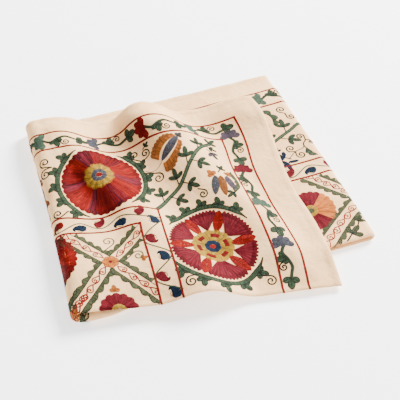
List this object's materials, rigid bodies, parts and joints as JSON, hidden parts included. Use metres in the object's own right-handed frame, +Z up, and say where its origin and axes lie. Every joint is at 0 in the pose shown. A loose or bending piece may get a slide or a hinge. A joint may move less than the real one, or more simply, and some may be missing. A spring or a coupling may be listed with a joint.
{
  "type": "folded suzani embroidered cloth",
  "caption": "Suzani embroidered cotton cloth, folded lengthwise and then in thirds, with a softly rippled top layer.",
  "frame": {"origin": "middle of the folded cloth's bounding box, on the surface it rests on", "axes": "+X from the left fold towards the right fold along the middle third, +Y from the lengthwise fold towards the long hems, +Z up"},
  "size_m": [0.5455, 0.5624, 0.0707],
  "materials": {
    "embroidered_cotton": "plain-weave natural cotton, matt, with raised chain and satin stitch embroidery in green, red, blue, gold, rust and grey"
  },
  "bodies": {
    "root": {"suzani_cloth": "embroidered_cotton"}
  },
  "joints": []
}
